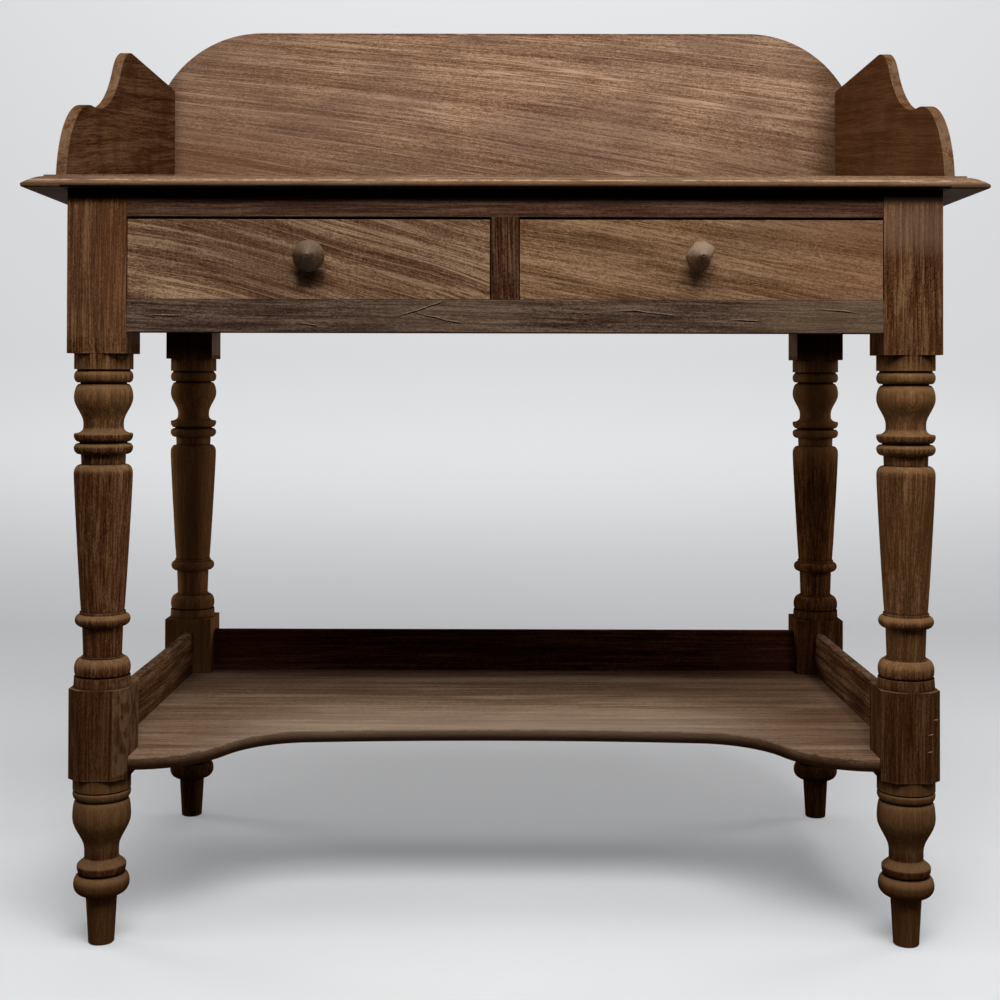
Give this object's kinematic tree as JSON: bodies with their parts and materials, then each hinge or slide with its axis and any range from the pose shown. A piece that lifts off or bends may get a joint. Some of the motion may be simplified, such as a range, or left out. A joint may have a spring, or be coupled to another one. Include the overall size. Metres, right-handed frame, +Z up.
{
  "type": "washstand",
  "caption": "Free-standing wooden washstand with a moulded top, a scrolled gallery, drawers side by side, turned legs and a pot shelf with an ogee front.",
  "frame": {"origin": "on the floor, under the middle of the whole object, knobs included", "axes": "+Z up, +X to the viewer's right when facing the drawers, -Y towards the viewer"},
  "size_m": [0.914, 0.525, 0.981],
  "materials": {
    "mahogany": "worn, dry, matt",
    "leg_wood": "worn, dry, matt, grain along the leg",
    "gallery_back_wood": "worn, dry, matt, slanting grain",
    "gallery_side_wood": "worn, dry, matt",
    "drawer_front_wood": "worn, matt, slanting ribbon grain",
    "grey_rail_wood": "weathered, dry, matt, open grain",
    "shelf_wood": "worn, matt",
    "dark_shelf_wood": "dark, worn, matt",
    "dark_knob_wood": "worn, matt",
    "knob_wood": "worn, matt",
    "pine": "plain, unpolished",
    "steel_screws": "dull"
  },
  "bodies": {
    "stand": {"top_board": "mahogany", "gallery_back": "gallery_back_wood", "gallery_left": "gallery_side_wood", "gallery_right": "gallery_side_wood", "gallery_screws": "steel_screws", "gallery_back_screws": "steel_screws", "leg_front_left": "leg_wood", "leg_front_right": "leg_wood", "leg_back_left": "leg_wood", "leg_back_right": "leg_wood", "front_top_rail": "mahogany", "front_bottom_rail": "grey_rail_wood", "drawer_divider": "mahogany", "apron_left": "mahogany", "apron_right": "mahogany", "apron_back": "pine", "runner_left": "pine", "runner_right": "pine", "runner_centre": "pine", "guide_left": "pine", "guide_right": "pine", "guide_centre": "pine", "kicker_left": "pine", "kicker_right": "pine", "kicker_centre": "pine", "drawer_stops": "pine", "glue_blocks": "pine", "top_screws": "steel_screws", "shelf": "shelf_wood", "shelf_back": "dark_shelf_wood", "shelf_rail_left": "mahogany", "shelf_rail_right": "mahogany"},
    "drawer_left": {"drawer_left_front": "drawer_front_wood", "drawer_left_outer_side": "pine", "drawer_left_inner_side": "pine", "drawer_left_back": "pine", "drawer_left_bottom": "pine", "drawer_left_knob": "dark_knob_wood", "drawer_left_screws": "steel_screws"},
    "drawer_right": {"drawer_right_front": "drawer_front_wood", "drawer_right_outer_side": "pine", "drawer_right_inner_side": "pine", "drawer_right_back": "pine", "drawer_right_bottom": "pine", "drawer_right_knob": "knob_wood", "drawer_right_screws": "steel_screws"}
  },
  "joints": [
    {"name": "drawer_left_slide", "type": "slide", "parent": "stand", "child": "drawer_left", "axis": [0, -1, 0], "range_m": [0, 0.33]},
    {"name": "drawer_right_slide", "type": "slide", "parent": "stand", "child": "drawer_right", "axis": [0, -1, 0], "range_m": [0, 0.33]}
  ]
}
